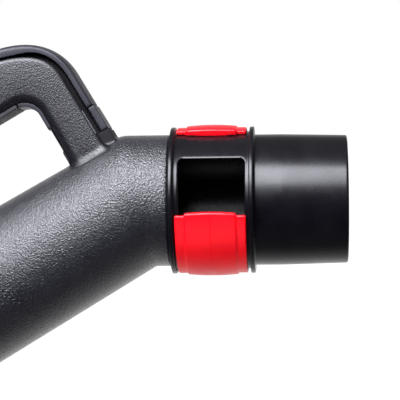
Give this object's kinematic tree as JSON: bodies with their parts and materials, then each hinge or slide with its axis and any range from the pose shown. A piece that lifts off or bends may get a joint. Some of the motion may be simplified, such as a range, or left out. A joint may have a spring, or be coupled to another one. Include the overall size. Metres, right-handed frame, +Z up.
{
  "type": "vacuum hose hand grip",
  "caption": "Bent hand grip for a vacuum hose: spout, turning red air-bleed ring, textured grip tube with a D-shaped loop handle and a swivelling hose cuff.",
  "frame": {"origin": "centre of the spout's root, on the front face of the front flange where the wand's socket stops", "axes": "+X along the spout towards the wand, +Z up on the side of the handle loop, -Y towards the side with the air window"},
  "size_m": [0.2873, 0.0673, 0.2011],
  "materials": {
    "spout_black": "smooth moulded black plastic with a satin gloss",
    "regulator_red": "smooth red plastic, satin",
    "seal_rubber": "matt black rubber",
    "duct_black": "smooth moulded black plastic",
    "grain_black": "black plastic with a coarse spark-eroded grain",
    "strip_black": "smooth matt dark grey plastic",
    "pad_black": "smooth matt dark plastic",
    "acetal_white": "natural acetal, slightly waxy",
    "cuff_black": "moulded black plastic, fine grain",
    "screw_steel": "zinc plated steel"
  },
  "bodies": {
    "grip": {"spout_tube": "spout_black", "spigot_seal": "seal_rubber", "elbow_duct": "duct_black", "left_shell": "grain_black", "right_shell": "grain_black", "outer_strip": "strip_black", "strip_latch": "strip_black", "front_inner_strip": "strip_black", "rear_inner_strip": "strip_black", "finger_pad": "pad_black", "rear_collar": "spout_black", "glide_ring": "acetal_white", "swivel_seal": "seal_rubber", "screw_front_leg": "screw_steel", "screw_front_corner": "screw_steel", "screw_bar_front": "screw_steel", "screw_bar_rear": "screw_steel", "screw_rear_corner": "screw_steel", "screw_rear_leg": "screw_steel"},
    "regulator": {"regulator_ring": "regulator_red"},
    "hose_cuff": {"swivel_cuff": "cuff_black"}
  },
  "joints": [
    {"name": "regulator_turn", "type": "hinge", "parent": "grip", "child": "regulator", "pos_m": [-0.0189, 0, 0], "axis": [1, 0, 0], "range_deg": [-55, 25]},
    {"name": "hose_swivel", "type": "hinge", "parent": "grip", "child": "hose_cuff", "pos_m": [-0.21521, 0, -0.094], "axis": [-0.866, 0, -0.5], "continuous": true}
  ]
}
